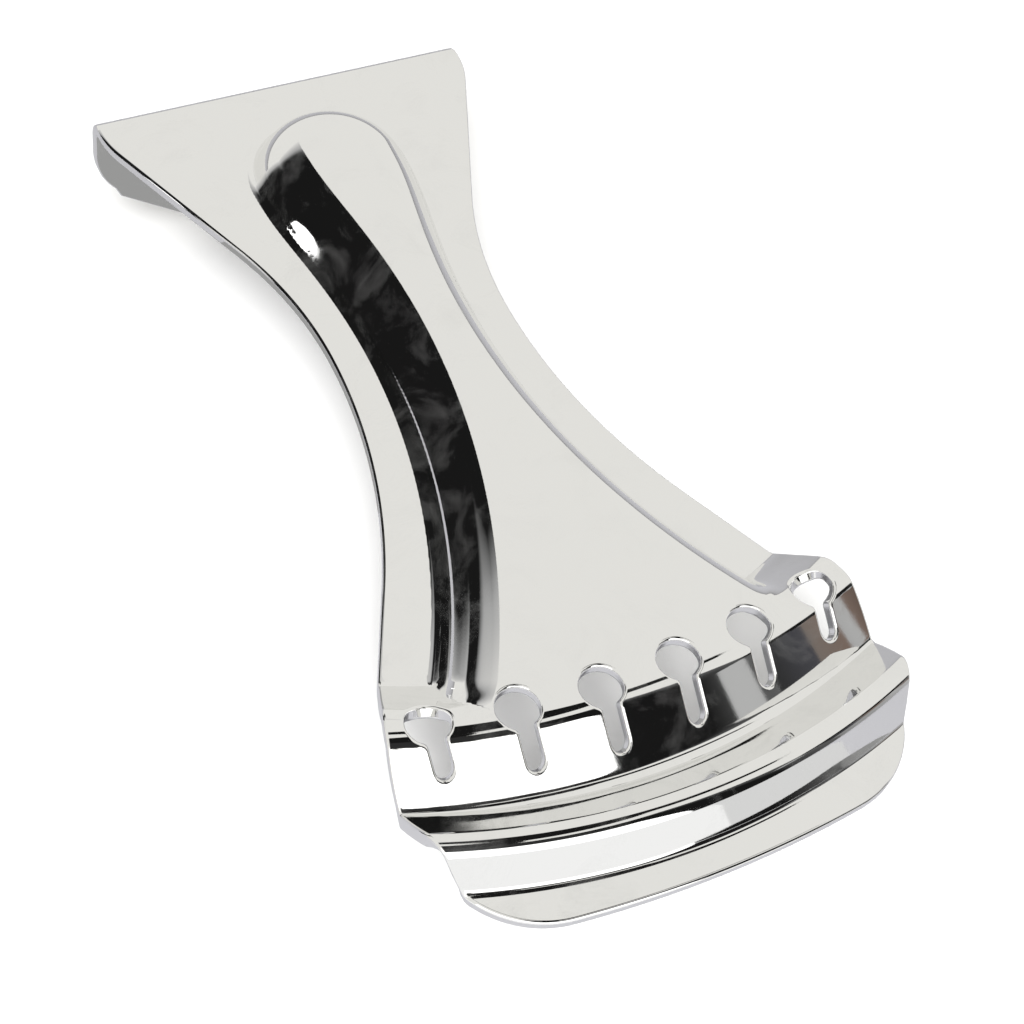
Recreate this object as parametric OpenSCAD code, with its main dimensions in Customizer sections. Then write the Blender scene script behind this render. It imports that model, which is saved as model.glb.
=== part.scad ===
// One-piece tailpiece for a six-string resonator guitar.
// It is pressed and folded from a single blank of sheet steel.
// Frame: +X across the strings, +Y along them towards the bridge, +Z up and away from the top.
// Origin: centre of the end-pin hole, on the hanger face that lies against the instrument.

/* [Sheet] */
// Thickness of the steel sheet
sheet_t = 1.5; // [1:0.1:1.6]
// Height of the flange's upper face above the end-pin hole
plate_z = 19; // [17:0.5:21]
// Distance from the hanger to the front edge of the lip
reach = 123.7; // [123.4:0.1:124.2]

/* [Outline] */
// Half of the width across the folded butt end
butt_half_w = 25.8; // [25.4:0.1:26]
// Rounding of the plate's sides next to the fold
butt_side_r = 13; // [11:1:15]
// Half of the width at the waist
waist_half_w = 12.2; // [12:0.1:13]
// Distance of the waist from the hanger
waist_y = 45.9; // [45:0.1:46.5]
// Radius of each side between the fold and the waist
waist_rear_r = 50; // [47:1:52]
// Radius of each side between the waist and the string band
waist_front_r = 74; // [73:1:76]
// Radius of the string band's outline, from the flange to the widest point
band_r = 29.8; // [29.7:0.1:30]
// Distance of that outline's centre from the hanger
band_y = 105.9; // [105.7:0.1:106.1]
// Radius of the outline from the widest point to the lip's corners
band_front_r = 22; // [21:0.5:23]
// Radius of the lip's two front corners
lip_corner_r = 12.6; // [12.2:0.1:12.8]
// Distance of the front corners' centres from the centre line
lip_corner_x = 16.2; // [16:0.1:16.4]

/* [Raised tongue and string band] */
// Height of the raised surfaces above the flange
raise_h = 5.9; // [5.5:0.1:6.3]
// Half of the tongue's width at its narrowest, measured at the foot of its walls
tongue_half_w = 8.1; // [7.8:0.1:8.4]
// Distance of the tongue's narrowest point from the hanger
tongue_y = 46.9; // [46:0.1:48]
// Radius of the tongue's hollow sides
tongue_side_r = 88; // [84:1:92]
// Radius of the tongue's round nose
nose_r = 11.1; // [10.8:0.1:11.4]
// Distance of the nose's centre from the hanger
nose_y = 17.8; // [17.4:0.1:18.2]
// Steepness of the tongue's walls
wall_angle = 65; // [63:1:67]
// Rounding along the top of the tongue's walls
tongue_brow_r = 7; // [6:0.1:7.1]
// Steepness of the ramp at the rear of the string band
ramp_angle = 43; // [41:1:46]
// Radius from the front axis to the foot of that ramp
ramp_r = 62.8; // [62:0.1:63.5]

/* [Slope, valley, ridge and lip] */
// Distance of the front axis from the hanger; the valley, ridge and ramp curve round it
front_y = 31.9; // [31.5:0.1:32.3]
// Distance from the hanger to the top of the slope, on the centre line
slope_top_y = 103.6; // [103.4:0.1:103.8]
// Radius of the top of the slope
slope_top_r = 92; // [88:1:96]
// Distance from the hanger to the foot of the slope, on the centre line
valley_y = 109.9; // [109.8:0.1:110]
// Width of the valley's floor
valley_w = 1; // [0.8:0.1:1.2]
// Height of the valley above the flange
valley_z = 0.9; // [0.7:0.1:1.1]
// Height of the ridge above the flange
ridge_z = 5.6; // [5.3:0.1:5.9]
// Width of the ridge before its edges are rounded
ridge_w = 1.8; // [1.7:0.1:1.9]
// Steepness of the ridge's rear face
ridge_rear_angle = 45; // [43:1:48]
// Steepness of the ridge's front face
ridge_front_angle = 60; // [57:1:62]
// Height of the lip above the flange
lip_z = 0.7; // [0.5:0.1:0.9]

/* [Keyholes] */
// Number of strings
string_count = 6; // [6:6:6]
// Distance between neighbouring strings
string_pitch = 9.6; // [9.4:0.1:9.7]
// Radius of each keyhole's round end
keyhole_r = 2.5; // [2.3:0.1:2.6]
// Distance from the hanger to the keyhole arc, on the centre line
keyhole_y = 101.5; // [101.2:0.1:101.7]
// Radius of the arc on which the keyholes lie
keyhole_arc_r = 98.8; // [96:0.2:102]
// Width of each string slot
slot_w = 2; // [1.8:0.1:2.2]
// Distance that each slot ends short of the valley
slot_gap = 1.8; // [1.7:0.1:2.4]

/* [Hanger] */
// Inside radius of the fold
fold_in_r = 1; // [0.8:0.1:1.3]
// Depth below the flange's upper face at which the shoulders start to curve in
shoulder_z = 5.8; // [5.5:0.1:6.1]
// Radius of the shoulders
shoulder_r = 10.2; // [9.8:0.1:10.6]
// Angle through which each shoulder curves
shoulder_turn = 42; // [40:1:44]
// Half of the width at the small corner below the shoulder
barb_half_w = 22.4; // [22.3:0.1:22.6]
// Depth of that corner below the flange's upper face
barb_z = 14.3; // [14.1:0.1:14.5]
// Angle of the tapering sides from the horizontal
taper_angle = 35.5; // [35:0.5:36.5]
// Radius of the hanger's tip, concentric with the end-pin hole
tip_r = 9; // [8.6:0.1:9.2]
// Radius of the end-pin hole
pin_hole_r = 4.75; // [4:0.05:5]

/* [Hidden] */
$fn = 96;

// Radii on the upper face where a wall meets the flange and where it meets the raised surface.
foot_r = 1.2;
brow_r = 3;
ridge_brow_r = 1.7;
valley_foot_r = 0.8;
bend_steps = 6;
arc_step = 5;

// Solids of revolution reach this far out and this far down before they are trimmed.
far = 160;
low = -10;
lower = -14;

fold_out_r = fold_in_r + sheet_t;
valley_r = valley_y - front_y;
slope_axis_y = slope_top_y - slope_top_r;
slope_angle = atan((raise_h - valley_z) / (valley_y - slope_top_y));

function unit(v) = v / norm(v);
function polar(centre, r, a) = centre + r * [cos(a), sin(a)];

// Points along an arc from angle a0 to angle a1.
function arc(centre, r, a0, a1) =
    let (n = max(2, ceil(abs(a1 - a0) / arc_step)))
    [for (i = [0:n]) polar(centre, r, a0 + (a1 - a0) * i / n)];

// Angle at which a line that crosses between two circles leaves the first one.
// side is 1 or -1 and picks one of the two crossing lines.
function crossing_angle(c1, r1, c2, r2, side) =
    let (d = c2 - c1)
    atan2(d.y, d.x) + side * acos((r1 + r2) / norm(d));

// One corner of a profile, moved down into the sheet by depth and rounded.
// radius is the bend's radius on the upper face.
function bend(a, b, c, radius, depth) =
    let (
        u = unit(b - a),
        v = unit(c - b),
        turned = atan2(cross(u, v), u * v),
        side = sign(turned),
        r = max(0.1, radius + side * depth),
        nu = [u.y, -u.x],
        nv = [v.y, -v.x],
        corner = b + depth * (nu + nv) / (1 + nu * nv),
        start = corner - u * r * tan(abs(turned) / 2),
        centre = start - side * r * nu,
        a0 = atan2(start.y - centre.y, start.x - centre.x)
    )
    [for (i = [0:bend_steps]) polar(centre, r, a0 + turned * i / bend_steps)];

// A whole profile: flat ends, with each inner corner rounded to its own radius.
function profile(corners, radii, depth) =
    let (last = len(corners) - 1)
    concat(
        [corners[0] - [0, depth]],
        [for (i = [1:last - 1])
            each bend(corners[i - 1], corners[i], corners[i + 1], radii[i - 1], depth)],
        [corners[last] - [0, depth]]
    );

// The space under a profile, turned about a vertical axis at [0, y].
// depth is 0 for the sheet's upper face and sheet_t for its lower face.
module under(corners, radii, depth, floor_z) {
    rotate_extrude()
        polygon(concat(
            profile(corners, radii, depth),
            [[corners[len(corners) - 1].x, floor_z], [corners[0].x, floor_z]]
        ));
}

// Corners of a wall that rises from the flange, starting at distance r from its axis.
function rising_wall(r, angle) =
    let (foot = r + foot_r * tan(angle / 2))
    [[5, 0], [foot, 0], [foot + raise_h / tan(angle), raise_h], [far, raise_h]];

// Corners of a wall that falls to the flange, ending at distance r from its axis.
function falling_wall(r, angle) =
    let (foot = r - foot_r * tan(angle / 2))
    [[0, raise_h], [foot - raise_h / tan(angle), raise_h], [foot, 0], [far, 0]];

// One hollow side of the tongue; side is 1 for the right and -1 for the left.
module tongue_side(side, depth, floor_z) {
    translate([side * (tongue_half_w + tongue_side_r), tongue_y, 0])
        under(rising_wall(tongue_side_r, wall_angle), [foot_r, tongue_brow_r], depth, floor_z);
}

// The round nose, with straight walls that carry it forward to the narrowest point.
module tongue_nose(depth, floor_z) {
    half = profile(falling_wall(nose_r, wall_angle), [tongue_brow_r, foot_r], depth);
    translate([0, nose_y, 0]) {
        rotate([0, 0, 180])
            rotate_extrude(angle = 180)
                polygon(concat(half, [[far, floor_z], [0, floor_z]]));
        rotate([90, 0, 180])
            linear_extrude(tongue_y - nose_y)
                polygon(concat(
                    half,
                    [[far, floor_z], [-far, floor_z]],
                    [for (i = [len(half) - 1:-1:1]) [-half[i].x, half[i].y]]
                ));
    }
    translate([-far, tongue_y, floor_z])
        cube([2 * far, far, raise_h - depth - floor_z]);
}

// The raised tongue, together with the flange level around it.
module tongue(depth, floor_z) {
    intersection() {
        tongue_side(1, depth, floor_z);
        tongue_side(-1, depth, floor_z);
        tongue_nose(depth, floor_z);
    }
}

// The full-width string band and the ramp that climbs to it.
module string_band(depth, floor_z) {
    translate([0, front_y, 0])
        under(rising_wall(ramp_r, ramp_angle), [foot_r, brow_r], depth, floor_z);
}

// Everything behind the slope that the string slots run down.
module behind_slope(depth, floor_z) {
    drop = raise_h - lower;
    translate([0, slope_axis_y, 0])
        under(
            [
                [0, raise_h],
                [slope_top_r, raise_h],
                [slope_top_r + drop / tan(slope_angle), lower],
                [slope_top_r + drop / tan(slope_angle) + 1, lower]
            ],
            [brow_r, valley_foot_r], depth, floor_z + lower
        );
}

// The valley, the ridge in front of it and the lip.
module ridge_and_lip(depth, floor_z) {
    rear = valley_r + valley_w;
    crest = rear + (ridge_z - valley_z) / tan(ridge_rear_angle);
    front = crest + ridge_w;
    translate([0, front_y, 0])
        difference() {
            under(
                [
                    [0, valley_z],
                    [rear, valley_z],
                    [crest, ridge_z],
                    [front, ridge_z],
                    [front + (ridge_z - lip_z) / tan(ridge_front_angle), lip_z],
                    [far, lip_z]
                ],
                [valley_foot_r, ridge_brow_r, ridge_brow_r, valley_foot_r], depth, floor_z
            );
            translate([0, 0, floor_z - 1])
                cylinder(r = valley_r - 8, h = raise_h - floor_z);
        }
}

// Everything below the sheet's upper face, or below its lower face when depth is sheet_t.
module below_face(depth, floor_z) {
    intersection() {
        union() {
            tongue(depth, floor_z);
            string_band(depth, floor_z);
        }
        behind_slope(depth, floor_z);
    }
    ridge_and_lip(depth, floor_z);
}

// Right half of the plan outline, from the fold to the middle of the lip.
function half_outline() =
    let (
        butt_c = [butt_half_w - butt_side_r, fold_in_r],
        rear_c = [waist_half_w + waist_rear_r, waist_y],
        front_c = [waist_half_w + waist_front_r, waist_y],
        band_c = [0, band_y],
        wide_c = [band_r - band_front_r, band_y],
        corner_d = band_front_r - lip_corner_r,
        corner_dx = lip_corner_x - wide_c.x,
        corner_c = [lip_corner_x, band_y + sqrt(corner_d * corner_d - corner_dx * corner_dx)],
        ahead = reach - corner_c.y,
        lip_r = (lip_corner_x * lip_corner_x + ahead * ahead - lip_corner_r * lip_corner_r)
            / (2 * (ahead - lip_corner_r)),
        lip_c = [0, reach - lip_r],
        rear_a = crossing_angle(butt_c, butt_side_r, rear_c, waist_rear_r, -1),
        band_a = crossing_angle(band_c, band_r, front_c, waist_front_r, 1),
        corner_a = atan2(corner_c.y - wide_c.y, corner_dx),
        lip_a = atan2(corner_c.y - lip_c.y, corner_c.x)
    )
    concat(
        arc(butt_c, butt_side_r, 0, rear_a),
        arc(rear_c, waist_rear_r, 180 + rear_a, 180),
        arc(front_c, waist_front_r, 180, 180 + band_a),
        arc(band_c, band_r, band_a, 0),
        arc(wide_c, band_front_r, 0, corner_a),
        arc(corner_c, lip_corner_r, corner_a, lip_a),
        arc(lip_c, lip_r, lip_a, 90)
    );

module outline() {
    right = half_outline();
    polygon(concat(right, [for (i = [len(right) - 1:-1:0]) [-right[i].x, right[i].y]]));
}

// A round hole for the ball end, opening into a slot that runs down the slope.
module keyhole(x) {
    y = keyhole_y - keyhole_arc_r + sqrt(keyhole_arc_r * keyhole_arc_r - x * x);
    end_r = valley_r - slot_gap;
    end_y = front_y + sqrt(end_r * end_r - x * x) - slot_w / 2;
    translate([x, y, low])
        cylinder(r = keyhole_r, h = 2 * raise_h - low);
    translate([x - slot_w / 2, y, low])
        cube([slot_w, end_y - y, 2 * raise_h - low]);
    translate([x, end_y, low])
        cylinder(r = slot_w / 2, h = 2 * raise_h - low);
}

module keyholes() {
    first_x = -string_pitch * (string_count - 1) / 2;
    for (i = [0:string_count - 1])
        keyhole(first_x + i * string_pitch);
}

// The quarter-round fold between the plate and the hanger.
module fold() {
    translate([-butt_half_w, fold_in_r, -fold_out_r])
        rotate([90, 0, 90])
            linear_extrude(2 * butt_half_w)
                intersection() {
                    difference() {
                        circle(r = fold_out_r);
                        circle(r = fold_in_r);
                    }
                    translate([-2 * fold_out_r, 0])
                        square(2 * fold_out_r);
                }
}

// Right half of the hanger's outline, seen from the strings, from the fold to the tip.
function half_hanger() =
    let (
        shoulder_c = [butt_half_w - shoulder_r, -shoulder_z],
        barb = [barb_half_w, -barb_z],
        tip_a = taper_angle - 90,
        lean = [cos(tip_a), sin(tip_a)],
        tip_c = [0, -plate_z],
        taper_start = barb - lean * ((barb - tip_c) * lean - tip_r)
    )
    concat(
        [[butt_half_w, -fold_out_r]],
        arc(shoulder_c, shoulder_r, 0, -shoulder_turn),
        [barb, taper_start],
        arc(tip_c, tip_r, tip_a, -90)
    );

module hanger() {
    right = half_hanger();
    difference() {
        rotate([90, 0, 0])
            linear_extrude(sheet_t)
                polygon(concat(right, [for (i = [len(right) - 2:-1:0]) [-right[i].x, right[i].y]]));
        translate([0, 1, -plate_z])
            rotate([90, 0, 0])
                cylinder(r = pin_hole_r, h = sheet_t + 2);
    }
}

module pressed_plate() {
    difference() {
        intersection() {
            translate([0, 0, low])
                linear_extrude(2 * raise_h - low)
                    outline();
            below_face(0, low);
        }
        below_face(sheet_t, lower);
        keyholes();
    }
}

module tailpiece_plate() {
    color([0.87, 0.87, 0.86])
        translate([0, 0, plate_z]) {
            pressed_plate();
            fold();
            hanger();
        }
}

tailpiece_plate();
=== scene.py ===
# %% [markdown]
# # A pressed and chromed tailpiece
#
# The real thing is one piece of sheet steel. It is cut out flat, its six keyholes are punched,
# and a press raises the tongue, the string band and the front ridge. Then the butt end is folded
# down into a hanger and the whole piece is polished and chromed.
#
# This script makes it in the same order: a flat blank, one set of Geometry Nodes that presses
# and folds it, a chrome finish, and a small studio for the chrome to reflect.

# %% Load the frame
import math

import bpy
import numpy as np
from mathutils import Matrix, Vector, kdtree
from mathutils.geometry import delaunay_2d_cdt


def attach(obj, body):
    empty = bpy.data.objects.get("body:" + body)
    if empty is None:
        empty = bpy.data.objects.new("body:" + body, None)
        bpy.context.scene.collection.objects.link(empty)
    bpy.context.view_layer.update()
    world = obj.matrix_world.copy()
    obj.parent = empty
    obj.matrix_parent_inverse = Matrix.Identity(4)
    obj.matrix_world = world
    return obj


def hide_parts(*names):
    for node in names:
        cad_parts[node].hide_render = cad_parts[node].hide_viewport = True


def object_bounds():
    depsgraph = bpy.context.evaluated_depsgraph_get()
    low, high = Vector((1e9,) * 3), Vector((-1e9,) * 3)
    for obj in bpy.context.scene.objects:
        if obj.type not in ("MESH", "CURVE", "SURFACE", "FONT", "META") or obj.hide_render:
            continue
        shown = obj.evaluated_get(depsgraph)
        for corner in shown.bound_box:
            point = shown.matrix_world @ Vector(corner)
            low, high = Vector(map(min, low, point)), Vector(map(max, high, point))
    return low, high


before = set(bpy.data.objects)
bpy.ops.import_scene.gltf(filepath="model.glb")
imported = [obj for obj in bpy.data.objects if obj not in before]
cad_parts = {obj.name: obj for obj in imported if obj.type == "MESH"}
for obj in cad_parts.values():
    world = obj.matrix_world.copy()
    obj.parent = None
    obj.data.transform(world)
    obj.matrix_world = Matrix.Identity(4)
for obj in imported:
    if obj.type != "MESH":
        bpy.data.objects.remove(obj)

scene = bpy.context.scene
cad_low, cad_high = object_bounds()
mm = 0.001
print("CAD box in mm:", [round(v / mm, 1) for v in (*cad_low, *cad_high)])

# %% [markdown]
# ## The camera
#
# The camera looks down on the front right of the piece, turned so that the strings would run
# from the top left to the bottom right. A camera could be aimed with a constraint, but three
# plain directions are exact and leave nothing live in the scene.

# %% Place the camera
camera_data = bpy.data.cameras.new("camera")
camera_data.sensor_width = 36
camera_data.lens = 70.3
camera_data.clip_start = 0.01
camera = bpy.data.objects.new("camera", camera_data)
scene.collection.objects.link(camera)
scene.camera = camera

camera_place = Vector((0.0857, 0.1836, 0.2060))
camera_right = Vector((-0.889, 0.433, 0.147))
camera_back = Vector((0.363, 0.471, 0.804)).normalized()
camera_right = (camera_right - camera_back * camera_right.dot(camera_back)).normalized()
camera_up = camera_back.cross(camera_right)
camera.matrix_world = Matrix.Translation(camera_place) @ Matrix(
    (camera_right, camera_up, camera_back)
).transposed().to_4x4()
print("camera height above the hanger's hole:", round(camera_place.z / mm), "mm")

# %% [markdown]
# ## The sizes
#
# These are the sizes that the press tool has, in metres. The outer ones come from the CAD
# model's box, so the pressed sheet has the same reach, width and height as the design.

# %% Sheet, outline and hanger sizes
sheet = 1.5 * mm
reach = cad_high.y
raised = 5.9 * mm
plate_top = cad_high.z - raised
butt_half = 25.8 * mm
butt_round = 13 * mm
waist_half = 12.2 * mm
waist_y = 45.9 * mm
waist_rear_r = 50 * mm
waist_front_r = 74 * mm
band_half = cad_high.x
band_y = 105.9 * mm
band_front_r = 22 * mm
lip_corner_r = 12.6 * mm
lip_corner_x = 16.2 * mm
fold_inner = 1 * mm
fold_outer = fold_inner + sheet
shoulder_depth = 5.8 * mm
shoulder_r = 10.2 * mm
shoulder_turn = 42
barb_half = 22.4 * mm
barb_depth = 14.3 * mm
taper_angle = 35.5
tip_r = 9 * mm
pin_hole_r = 4.75 * mm

# The fold takes a quarter turn of sheet, so the hanger starts this much further out on the blank.
fold_length = fold_outer * math.pi / 2
fold_end = fold_inner - fold_length
hanger_shift = fold_end + fold_outer
print("the fold uses", round(fold_length / mm, 2), "mm of sheet")

# %% Press tool sizes
press = {
    "Raised height": raised,
    "Tongue half width": 8.1 * mm,
    "Tongue waist": 46.9 * mm,
    "Tongue side radius": 88 * mm,
    "Nose radius": 11.1 * mm,
    "Nose centre": 17.8 * mm,
    "Wall angle": math.radians(65),
    "Ramp angle": math.radians(43),
    "Ramp radius": 62.8 * mm,
    "Front axis": 31.9 * mm,
    "Slope top": 103.6 * mm,
    "Slope top radius": 92 * mm,
    "Valley": 109.9 * mm,
    "Valley width": 1 * mm,
    "Valley height": 0.9 * mm,
    "Ridge height": 5.6 * mm,
    "Ridge width": 1.8 * mm,
    "Ridge rear angle": math.radians(45),
    "Ridge front angle": math.radians(60),
    "Lip height": 0.7 * mm,
    "Foot radius": 1.2 * mm,
    "Tongue brow radius": 7 * mm,
    "Brow radius": 3 * mm,
    "Ridge radius": 1.7 * mm,
    "Valley radius": 0.8 * mm,
    "Fold inner radius": fold_inner,
    "Fold outer radius": fold_outer,
    "Plate top": plate_top,
}
valley_r = press["Valley"] - press["Front axis"]
slope_axis = press["Slope top"] - press["Slope top radius"]
print(len(press), "named sizes for the press")

# %% [markdown]
# ## The blank's outline
#
# The outline is built from arcs that run smoothly into each other, as a toolmaker draws it.
# It could be traced with a Bezier curve, but arcs with known centres keep the exact design.
# The blank lies flat: X across, Y along the developed length, with the hanger unrolled behind.

# %% Arcs and evenly spaced points
rim_step = 0.45 * mm


def arc(centre, radius, start, end, step=rim_step):
    """Points along an arc; the angles are in degrees."""
    turn = math.radians(end - start)
    count = max(2, math.ceil(abs(turn) * radius / step))
    angles = math.radians(start) + turn * np.arange(count + 1) / count
    return np.stack(
        [centre[0] + radius * np.cos(angles), centre[1] + radius * np.sin(angles)], axis=1
    )


def line(start, end, step=rim_step):
    """Points along a straight line."""
    start, end = np.array(start), np.array(end)
    count = max(1, math.ceil(np.linalg.norm(end - start) / step))
    return start + (end - start) * np.arange(count + 1)[:, None] / count


def joined(*runs):
    """One closed loop from several runs, without the points that repeat."""
    points = np.concatenate(runs)
    gap = np.linalg.norm(points - np.roll(points, 1, axis=0), axis=1)
    return points[gap > 0.02 * mm]


def crossing_angle(centre_a, radius_a, centre_b, radius_b, side):
    """Where a line that crosses between two circles leaves the first one, in degrees."""
    dx, dy = centre_b[0] - centre_a[0], centre_b[1] - centre_a[1]
    lean = math.acos((radius_a + radius_b) / math.hypot(dx, dy))
    return math.degrees(math.atan2(dy, dx) + side * lean)


print("one rim point every", round(rim_step / mm, 2), "mm")

# %% Right half of the plate
butt_c = (butt_half - butt_round, fold_inner)
rear_c = (waist_half + waist_rear_r, waist_y)
front_c = (waist_half + waist_front_r, waist_y)
band_c = (0, band_y)
wide_c = (band_half - band_front_r, band_y)
corner_drop = math.sqrt((band_front_r - lip_corner_r) ** 2 - (lip_corner_x - wide_c[0]) ** 2)
corner_c = (lip_corner_x, band_y + corner_drop)
ahead = reach - corner_c[1]
lip_r = (lip_corner_x**2 + ahead**2 - lip_corner_r**2) / (2 * (ahead - lip_corner_r))
lip_c = (0, reach - lip_r)
rear_angle = crossing_angle(butt_c, butt_round, rear_c, waist_rear_r, -1)
band_angle = crossing_angle(band_c, band_half, front_c, waist_front_r, 1)
corner_angle = math.degrees(math.atan2(corner_drop, lip_corner_x - wide_c[0]))
lip_angle = math.degrees(math.atan2(corner_c[1] - lip_c[1], corner_c[0]))
butt_side = arc(butt_c, butt_round, 0, rear_angle)
rear_side = arc(rear_c, waist_rear_r, 180 + rear_angle, 180)
front_side = arc(front_c, waist_front_r, 180, 180 + band_angle)
band_side = arc(band_c, band_half, band_angle, 0)
plate_side = [
    butt_side,
    line(butt_side[-1], rear_side[0]),
    rear_side,
    front_side,
    line(front_side[-1], band_side[0]),
    band_side,
    arc(wide_c, band_front_r, 0, corner_angle),
    arc(corner_c, lip_corner_r, corner_angle, lip_angle),
    arc(lip_c, lip_r, lip_angle, 90),
]
print("front edge radius:", round(lip_r / mm, 1), "mm")

# %% Right half of the hanger, and the whole outline
pin_centre = (0, hanger_shift - plate_top)
tip_angle = taper_angle - 90
tip = arc(pin_centre, tip_r, -90, tip_angle)
barb = (barb_half, hanger_shift - barb_depth)
shoulder_c = (butt_half - shoulder_r, hanger_shift - shoulder_depth)
shoulder = arc(shoulder_c, shoulder_r, -shoulder_turn, 0)
hanger_side = [
    tip,
    line(tip[-1], barb),
    line(barb, shoulder[0]),
    shoulder,
    line(shoulder[-1], (butt_half, fold_inner)),
]
right_side = joined(*hanger_side, *plate_side)
left_side = right_side[::-1] * np.array([-1, 1])
outline = joined(right_side, left_side)
print("outline:", len(outline), "points")

# %% [markdown]
# ## The keyholes
#
# Each string passes through a round hole with its ball end, then drops into a narrow slot that
# runs down the slope. All six are one shape on an arc, so one function draws them. The punch
# has small rounded shoulders where the hole runs into the slot.

# %% Draw one keyhole
keyhole_r = 2.5 * mm
keyhole_y = 101.5 * mm
keyhole_arc_r = 98.8 * mm
slot_half = 1 * mm
slot_gap = 1.8 * mm
string_pitch = 9.6 * mm
shoulder_round = 0.8 * mm
hole_step = 0.3 * mm


def keyhole(x):
    """The closed outline of the keyhole for the string at x."""
    y = keyhole_y - keyhole_arc_r + math.sqrt(keyhole_arc_r**2 - x**2)
    end = front_y + math.sqrt((valley_r - slot_gap) ** 2 - x**2) - slot_half
    out = slot_half + shoulder_round
    up = math.sqrt((keyhole_r + shoulder_round) ** 2 - out**2)
    meet = math.degrees(math.atan2(up, out))
    return joined(
        arc((x, end), slot_half, 0, 180, hole_step),
        line((x - slot_half, end), (x - slot_half, y + up), hole_step),
        arc((x - out, y + up), shoulder_round, 0, -meet, hole_step),
        arc((x, y), keyhole_r, 180 - meet, 360 + meet, hole_step),
        arc((x + out, y + up), shoulder_round, 180 + meet, 180, hole_step),
        line((x + slot_half, y + up), (x + slot_half, end), hole_step),
    )


front_y = press["Front axis"]
string_x = string_pitch * (np.arange(6) - 2.5)
holes = [keyhole(x) for x in string_x]
holes.append(arc(pin_centre, pin_hole_r, 0, 360, hole_step)[:-1])
print("holes:", len(holes), "with", sum(len(h) for h in holes), "points round them")

# %% [markdown]
# ## Rounded edges
#
# A punched edge is never sharp, and polishing before the chrome bath rounds it further. Those
# narrow rounds catch the light all along the outline. A Bevel modifier could add them, but
# rows of points drawn here stay even, and each row knows which way its surface faces.

# %% Rows of points round an edge
edge_round = 0.35 * mm
round_steps = 4


def outward(loop):
    """For a loop that runs anticlockwise, the direction away from the space inside it."""
    along = np.roll(loop, -1, axis=0) - loop
    normal = np.stack([along[:, 1], -along[:, 0]], axis=1)
    normal /= np.linalg.norm(normal, axis=1)[:, None]
    both = normal + np.roll(normal, 1, axis=0)
    return 2 * both / (both**2).sum(axis=1)[:, None]


def edge_rows(loop, away):
    """Rows of points from the upper face round the edge to the lower face, and their normals."""
    away = np.asarray(away)
    unit = away / np.linalg.norm(away, axis=1)[:, None]
    turns = np.linspace(0, math.pi / 2, round_steps + 1)
    rows = []
    for upper in (True, False):
        for turn in turns if upper else turns[::-1]:
            flat = loop - away * edge_round * (1 - math.sin(turn))
            depth = edge_round * (1 - math.cos(turn))
            z = -depth if upper else depth - sheet
            up = math.cos(turn) if upper else -math.cos(turn)
            points = np.column_stack([flat, np.full(len(loop), z)])
            normals = np.column_stack([unit * math.sin(turn), np.full(len(loop), up)])
            rows.append((points, normals))
    return rows


edges = [edge_rows(outline, outward(outline))]
edges += [edge_rows(hole, -outward(hole)) for hole in holes]
print("rows round each edge:", len(edges[0]))

# %% [markdown]
# ## Points inside the blank
#
# The press bends the sheet only in some places. The blank gets close points there and wide
# ones where it stays flat, so the chrome's reflections run smoothly without a heavy mesh.
# A plain subdivided grid would waste most of its points on the flat parts.

# %% Find the places that will be bent
fine_step = 0.36 * mm
coarse_step = 1.7 * mm
row_step = 0.22 * mm
along_step = 0.6 * mm
widest_bearing = 0.55
margin = 1 * mm
fold_margin = 0.4 * mm
wall_reach = 9.6 * mm
bend_start = press["Ramp radius"] - margin
bend_end = valley_r + 12.5 * mm


def in_front(x, y):
    """True from the foot of the ramp to the lip, where every bend follows the front arcs."""
    from_front = np.hypot(x, y - front_y)
    return (from_front > bend_start) & (from_front < bend_end) & (y > band_y / 2)


def will_bend(x, y):
    """True where the press bends the tongue's walls or the butt end is folded."""
    from_front = np.hypot(x, y - front_y)
    side_c = press["Tongue half width"] + press["Tongue side radius"]
    side = np.hypot(np.abs(x) - side_c, y - press["Tongue waist"]) - press["Tongue side radius"]
    behind_nose = np.minimum(y - press["Nose centre"], 0)
    nose = press["Nose radius"] - np.hypot(x, behind_nose)
    nose += np.maximum(y - press["Tongue waist"], 0)
    tongue = np.minimum(side, nose)
    ramp = from_front - press["Ramp radius"]
    on_walls = (tongue > -margin) & (tongue < wall_reach) & (ramp < margin)
    on_fold = (y > fold_end - fold_margin) & (y < fold_inner + fold_margin)
    return on_walls | on_fold


def inside(points, loop):
    """True for the points inside a closed loop, by counting the edges on one side."""
    result = np.zeros(len(points), dtype=bool)
    for a, b in zip(loop, np.roll(loop, -1, axis=0)):
        if a[1] != b[1]:
            spans = (a[1] > points[:, 1]) != (b[1] > points[:, 1])
            cross = a[0] + (points[:, 1] - a[1]) / (b[1] - a[1]) * (b[0] - a[0])
            result ^= spans & (points[:, 0] < cross)
    return result


print("the front arcs bend over", round((bend_end - bend_start) / mm, 1), "mm")

# %% Lay the points
def lattice(step):
    """Rows of points like a honeycomb over the whole blank."""
    rise = step * math.sqrt(3) / 2
    low, high = outline.min(axis=0), outline.max(axis=0)
    rows = []
    for number, y in enumerate(np.arange(low[1], high[1], rise)):
        x = np.arange(0, high[0] + step, step) + (number % 2) * step / 2
        x = np.concatenate([-x[::-1], x[x > 0]])
        rows.append(np.column_stack([x, np.full(len(x), y)]))
    return np.concatenate(rows)


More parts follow.
